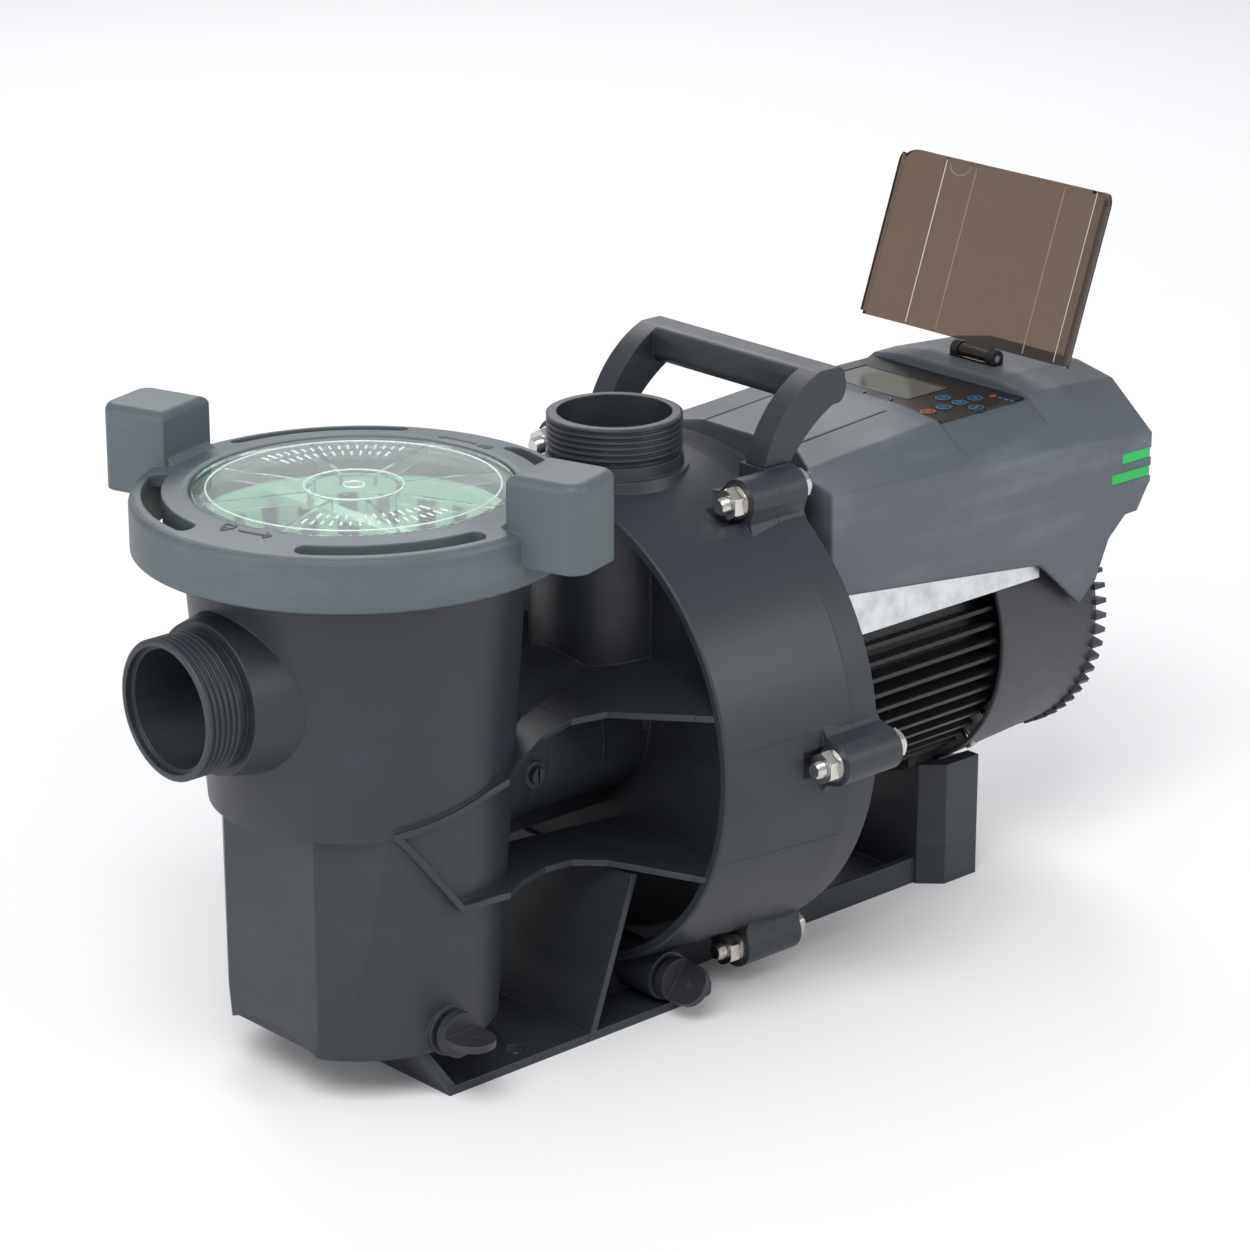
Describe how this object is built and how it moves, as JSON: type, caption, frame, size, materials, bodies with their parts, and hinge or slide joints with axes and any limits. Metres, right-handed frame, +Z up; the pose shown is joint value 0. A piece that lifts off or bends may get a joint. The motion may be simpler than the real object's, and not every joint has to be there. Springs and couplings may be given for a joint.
{
  "type": "pool pump",
  "caption": "Self-priming pool pump with a strainer pot under a clear lid, a lock ring, a carrying handle, a finned motor and an inverter drive with a keypad under a smoked cover.",
  "frame": {"origin": "underside of the base, straight below the outlet port's axis", "axes": "+X along the shaft from the strainer pot to the motor, +Z up along the outlet port, -Y towards the drain plugs' side"},
  "size_m": [0.651, 0.327, 0.4088],
  "materials": {
    "body_plastic": "fine moulded texture",
    "ring_plastic": "fine moulded texture",
    "drive_plastic": "fine moulded texture",
    "cover_plastic": "fine moulded texture",
    "plug_plastic": "satin",
    "inner_plastic": "satin, glass filled",
    "fascia_plastic": "satin gloss",
    "accent_plastic": "satin",
    "basket_plastic": "satin",
    "key_plastic": "satin",
    "key_stop_plastic": "satin",
    "clear_plastic": "clear, lightly scuffed",
    "smoke_plastic": "smoke tinted, glossy",
    "display_glass": "matt liquid crystal window",
    "rubber": "matt",
    "stainless": "bright turned",
    "plate_aluminium": "raw cast",
    "motor_aluminium": "semi-gloss black paint",
    "core_steel": "stacked laminations",
    "winding_copper": "enamelled copper",
    "seal_ceramic": "polished ceramic",
    "seal_carbon": "lapped carbon",
    "board_green": "solder mask"
  },
  "bodies": {
    "pump": {"strainer_pot": "body_plastic", "suction_duct": "body_plastic", "volute_drum": "body_plastic", "duct_plug": "body_plastic", "diffuser": "inner_plastic", "diffuser_o_ring": "rubber", "seal_plate": "body_plastic", "housing_o_ring": "rubber", "seal_seat": "seal_ceramic", "flange_bolts": "stainless", "flange_washers": "stainless", "flange_nuts": "stainless", "motor_bolts": "stainless", "carry_handle": "body_plastic", "motor_frame": "motor_aluminium", "front_end_shield": "motor_aluminium", "rear_end_shield": "motor_aluminium", "stator_core": "core_steel", "stator_windings": "winding_copper", "bearing_outer_rings": "stainless", "fan_cover": "cover_plastic", "fan_cover_screws": "stainless", "base": "body_plastic", "saddle_pad": "rubber", "drive_housing": "drive_plastic", "accent_strip": "accent_plastic", "heat_sink": "plate_aluminium", "cable_glands": "plug_plastic", "circuit_board": "board_green", "control_panel": "fascia_plastic", "display_window": "display_glass", "cover_hinge_pin": "stainless", "cover_hinge_clip": "fascia_plastic"},
    "lid": {"clear_lid": "clear_plastic", "lid_o_ring": "rubber"},
    "ring": {"lock_ring": "ring_plastic"},
    "basket": {"strainer_basket": "basket_plastic"},
    "rotor": {"shaft": "stainless", "impeller": "inner_plastic", "impeller_screw": "stainless", "seal_head": "seal_carbon", "seal_spring": "stainless", "rotor_core": "core_steel", "bearing_inner_rings": "stainless", "bearing_balls": "stainless", "cooling_fan": "inner_plastic"},
    "cover": {"panel_cover": "smoke_plastic"},
    "pot_drain_seal": {"pot_drain_o_ring": "rubber"},
    "pot_drain_screw": {"pot_drain_plug": "plug_plastic"},
    "volute_drain_seal": {"volute_drain_o_ring": "rubber"},
    "volute_drain_screw": {"volute_drain_plug": "plug_plastic"},
    "key_enter_cap": {"key_enter": "key_plastic"},
    "key_up_cap": {"key_up": "key_plastic"},
    "key_down_cap": {"key_down": "key_plastic"},
    "key_left_cap": {"key_left": "key_plastic"},
    "key_right_cap": {"key_right": "key_plastic"},
    "key_stop_cap": {"key_stop": "key_stop_plastic"},
    "key_speed_1_cap": {"key_speed_1": "key_plastic"},
    "key_speed_2_cap": {"key_speed_2": "key_plastic"},
    "key_speed_3_cap": {"key_speed_3": "key_plastic"}
  },
  "joints": [
    {"name": "lid_lift", "type": "slide", "parent": "pump", "child": "lid", "axis": [0, 0, 1], "range_m": [0, 0.35]},
    {"name": "ring_turn", "type": "hinge", "parent": "lid", "child": "ring", "pos_m": [-0.1835, 0, 0.309], "axis": [0, 0, 1], "range_deg": [0, 35]},
    {"name": "basket_lift", "type": "slide", "parent": "pump", "child": "basket", "axis": [0, 0, 1], "range_m": [0, 0.2]},
    {"name": "shaft_spin", "type": "hinge", "parent": "pump", "child": "rotor", "pos_m": [0.1, 0, 0.156], "axis": [1, 0, 0], "continuous": true},
    {"name": "cover_swing", "type": "hinge", "parent": "pump", "child": "cover", "pos_m": [0.2905, 0, 0.3025], "axis": [0, 1, 0], "range_deg": [-109.5, 0]},
    {"name": "key_enter_press", "type": "slide", "parent": "pump", "child": "key_enter_cap", "axis": [0, 0, -1], "range_m": [0, 0.0005], "stiffness_N_per_m": 600, "springref_m": -0.0002},
    {"name": "key_up_press", "type": "slide", "parent": "pump", "child": "key_up_cap", "axis": [0, 0, -1], "range_m": [0, 0.0005], "stiffness_N_per_m": 600, "springref_m": -0.0002},
    {"name": "key_down_press", "type": "slide", "parent": "pump", "child": "key_down_cap", "axis": [0, 0, -1], "range_m": [0, 0.0005], "stiffness_N_per_m": 600, "springref_m": -0.0002},
    {"name": "key_left_press", "type": "slide", "parent": "pump", "child": "key_left_cap", "axis": [0, 0, -1], "range_m": [0, 0.0005], "stiffness_N_per_m": 600, "springref_m": -0.0002},
    {"name": "key_right_press", "type": "slide", "parent": "pump", "child": "key_right_cap", "axis": [0, 0, -1], "range_m": [0, 0.0005], "stiffness_N_per_m": 600, "springref_m": -0.0002},
    {"name": "key_stop_press", "type": "slide", "parent": "pump", "child": "key_stop_cap", "axis": [0, 0, -1], "range_m": [0, 0.0005], "stiffness_N_per_m": 600, "springref_m": -0.0002},
    {"name": "key_speed_1_press", "type": "slide", "parent": "pump", "child": "key_speed_1_cap", "axis": [0, 0, -1], "range_m": [0, 0.0005], "stiffness_N_per_m": 600, "springref_m": -0.0002},
    {"name": "key_speed_2_press", "type": "slide", "parent": "pump", "child": "key_speed_2_cap", "axis": [0, 0, -1], "range_m": [0, 0.0005], "stiffness_N_per_m": 600, "springref_m": -0.0002},
    {"name": "key_speed_3_press", "type": "slide", "parent": "pump", "child": "key_speed_3_cap", "axis": [0, 0, -1], "range_m": [0, 0.0005], "stiffness_N_per_m": 600, "springref_m": -0.0002},
    {"name": "pot_drain_out", "type": "slide", "parent": "pump", "child": "pot_drain_seal", "axis": [0, -1, 0], "range_m": [0, 0.00703]},
    {"name": "pot_drain_turn", "type": "hinge", "parent": "pot_drain_seal", "child": "pot_drain_screw", "pos_m": [-0.186, -0.075, 0.038], "axis": [0, -1, 0], "range_deg": [0, 1080]},
    {"name": "volute_drain_out", "type": "slide", "parent": "pump", "child": "volute_drain_seal", "axis": [0, -1, 0], "range_m": [0, 0.00703]},
    {"name": "volute_drain_turn", "type": "hinge", "parent": "volute_drain_seal", "child": "volute_drain_screw", "pos_m": [-0.026, -0.072, 0.02], "axis": [0, -1, 0], "range_deg": [0, 1080]}
  ],
  "couplings": [
    {"joint": "basket_lift", "follows": "lid_lift", "ratio": 0.55},
    {"joint": "pot_drain_out", "follows": "pot_drain_turn", "m_per_rad": 0.00036765},
    {"joint": "volute_drain_out", "follows": "volute_drain_turn", "m_per_rad": 0.00036765}
  ]
}
